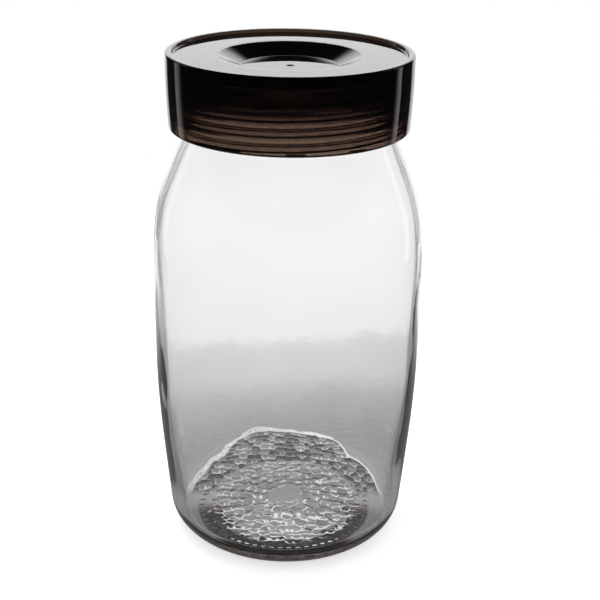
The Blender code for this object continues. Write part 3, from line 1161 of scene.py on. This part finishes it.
def build_world(settings):
    """White to the camera and through the glass. Reflections see a lit wall in a dark room."""
    world = bpy.data.worlds.new("studio")
    bpy.context.scene.world = world
    world.use_nodes = True
    tree = world.node_tree
    tree.nodes.clear()
    path = tree.nodes.new("ShaderNodeLightPath").outputs
    x, y, z = separated(tree, tree.nodes.new("ShaderNodeTexCoord").outputs["Generated"])
    aside = x.maths("ARCTAN2", y) * (180 / math.pi)
    height = z.maths("ARCSINE") * (180 / math.pi)

    lit = between(WALL_FOOT_LIGHT, settings.wall_light, step_between(height, *WALL_FOOT))
    mirrored = band(aside, *WALL_SPAN) * fall_between(height, *WALL_TOP) * lit + ROOM_DIM
    for span, light in STRIPS:
        mirrored = mirrored + band(aside, *span) * band(height, *STRIP_HEIGHTS) * light
    sent = SENT_LIGHT - band(height, *BELT_HEIGHTS) * BELT_SHARE
    is_camera = Field(tree, path["Is Camera Ray"])
    is_sent = Field(tree, path["Is Transmission Ray"])
    is_mirrored = Field(tree, path["Is Glossy Ray"]) * (1 - is_sent)
    rest = 1 - is_camera - is_sent - is_mirrored
    strength = is_camera + is_sent * sent + is_mirrored * mirrored + rest * settings.room_light
    light = node_of(tree, "ShaderNodeBackground", Color=WHITE, Strength=strength)
    node_of(tree, "ShaderNodeOutputWorld", Surface=light)


def build_lamp():
    """One large soft lamp over the jar, for the shadow on the floor."""
    lamp = bpy.data.lights.new("soft_lamp", "AREA")
    lamp.shape = "DISK"
    lamp.size = 0.7
    lamp.energy = 4.0
    holder = placed("soft_lamp", lamp)
    holder.location = LAMP_PLACE
    way = Vector(LAMP_AIM) - Vector(LAMP_PLACE)
    holder.rotation_euler = way.to_track_quat("-Z", "Y").to_euler()
    holder.visible_glossy = False
    holder.visible_transmission = False


def build_camera():
    """The photograph's viewpoint."""
    lens = bpy.data.cameras.new("camera")
    lens.sensor_width = 36
    lens.lens = 74.52
    lens.clip_start = 0.01
    camera = placed("camera", lens)
    place = Matrix.Translation(CAMERA_PLACE)
    for degrees, axis in CAMERA_TURNS:
        place = place @ Matrix.Rotation(math.radians(degrees), 4, axis)
    camera.matrix_world = place
    bpy.context.scene.camera = camera


# Operators, one for each piece and one for the stage


class COOKIEJAR_OT_glass_body(bpy.types.Operator):
    """Builds the blown glass body with its thread, waves and hammered base"""

    bl_idname = "cookiejar.glass_body"
    bl_label = "Glass Body"

    def execute(self, context):
        settings = context.scene.cookie_jar.glass
        outline, zones = jar_outline()
        piece = turned(
            "glass_body", outline, GLASS_STEPS, zones=zones,
            thread=["neck"], outer=["outer"], inner=["inner", "floor"],
            inside=["inner", "mouth", "corner", "floor"], cells=["underside", "slope"],
            marks=["bearing"], pleats=["slope"],
        )
        glass = clear_glass(settings)
        grown(
            piece, wave_tree(), Outer=settings.outer_wave, Inner=settings.inner_wave,
            Material=glass,
        )
        grown(
            piece, thread_tree("neck_thread"), Height=settings.thread_height, Material=glass,
            **NECK_THREAD,
        )
        grown(
            piece, hammered_tree(), Rows=settings.cell_rows, Depth=settings.cell_depth,
            Mark_count=settings.mark_count, Material=glass, **HAMMERED_BASE,
        )
        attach(piece, "jar")
        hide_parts("glass_jar")
        return {"FINISHED"}


class COOKIEJAR_OT_screw_lid(bpy.types.Operator):
    """Builds the smoked screw lid with its dished top, thread and foot notches"""

    bl_idname = "cookiejar.screw_lid"
    bl_label = "Screw Lid"

    def execute(self, context):
        settings = context.scene.cookie_jar.lid
        outline, zones = lid_outline()
        piece = turned("smoked_lid", outline, LID_STEPS, zones=zones, thread=["bore"])
        plastic = smoked_plastic(settings)
        grown(
            piece, thread_tree("lid_thread"), Height=-settings.thread_height, Material=plastic,
            **LID_THREAD,
        )
        grown(piece, notch_tree(), Material=plastic, **NOTCHES)
        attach(piece, "lid")
        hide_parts("screw_lid")
        return {"FINISHED"}


class COOKIEJAR_OT_sealing_ring(bpy.types.Operator):
    """Builds the flat rubber ring that closes the lid on the lip"""

    bl_idname = "cookiejar.sealing_ring"
    bl_label = "Sealing Ring"

    def execute(self, context):
        corners = (
            (RING_INNER_RADIUS, RING_LOW, math.pi),
            (RING_OUTER_RADIUS, RING_LOW, 3 * math.pi / 2),
            (RING_OUTER_RADIUS, RING_HIGH, 0),
            (RING_INNER_RADIUS, RING_HIGH, math.pi / 2),
        )
        outline = []
        for radius, height, start in corners:
            inwards = RING_EDGE if radius == RING_INNER_RADIUS else -RING_EDGE
            upwards = RING_EDGE if height == RING_LOW else -RING_EDGE
            outline += arc(
                (radius + inwards, height + upwards), RING_EDGE, start, start + math.pi / 2,
                steps=3,
            )
        piece = turned("rubber_ring", outline, LID_STEPS, closed=True)
        piece.data.materials.append(ring_rubber(context.scene.cookie_jar.ring))
        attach(piece, "ring")
        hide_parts("sealing_ring")
        return {"FINISHED"}


class COOKIEJAR_OT_stage(bpy.types.Operator):
    """Builds the pale floor, the soft studio light and the camera"""

    bl_idname = "cookiejar.stage"
    bl_label = "Stage"

    def execute(self, context):
        settings = context.scene.cookie_jar.studio
        build_floor(settings)
        build_world(settings)
        build_lamp()
        build_camera()
        context.scene.view_settings.view_transform = "Standard"
        return {"FINISHED"}


OPERATORS = {
    "glass": COOKIEJAR_OT_glass_body,
    "lid": COOKIEJAR_OT_screw_lid,
    "ring": COOKIEJAR_OT_sealing_ring,
    "studio": COOKIEJAR_OT_stage,
}


class COOKIEJAR_PT_panel(bpy.types.Panel):
    """Lists the jar's pieces and their settings"""

    bl_label = "Cookie Jar"
    bl_idname = "COOKIEJAR_PT_panel"
    bl_space_type = "VIEW_3D"
    bl_region_type = "UI"
    bl_category = "Cookie Jar"

    def draw(self, context):
        settings = context.scene.cookie_jar
        for name, operator in OPERATORS.items():
            group = getattr(settings, name)
            box = self.layout.box()
            for setting in group.__annotations__:
                box.prop(group, setting)
            box.operator(operator.bl_idname)


CLASSES = (
    JarGlassSettings,
    ScrewLidSettings,
    SealingRingSettings,
    StudioSettings,
    CookieJarSettings,
    *OPERATORS.values(),
    COOKIEJAR_PT_panel,
)


def register():
    for kind in CLASSES:
        bpy.utils.register_class(kind)
    bpy.types.Scene.cookie_jar = PointerProperty(type=CookieJarSettings)


def unregister():
    del bpy.types.Scene.cookie_jar
    for kind in reversed(CLASSES):
        bpy.utils.unregister_class(kind)


def main():
    register()
    bpy.ops.cookiejar.glass_body()
    bpy.ops.cookiejar.screw_lid()
    bpy.ops.cookiejar.sealing_ring()
    bpy.ops.cookiejar.stage()


if __name__ == "__main__":
    main()
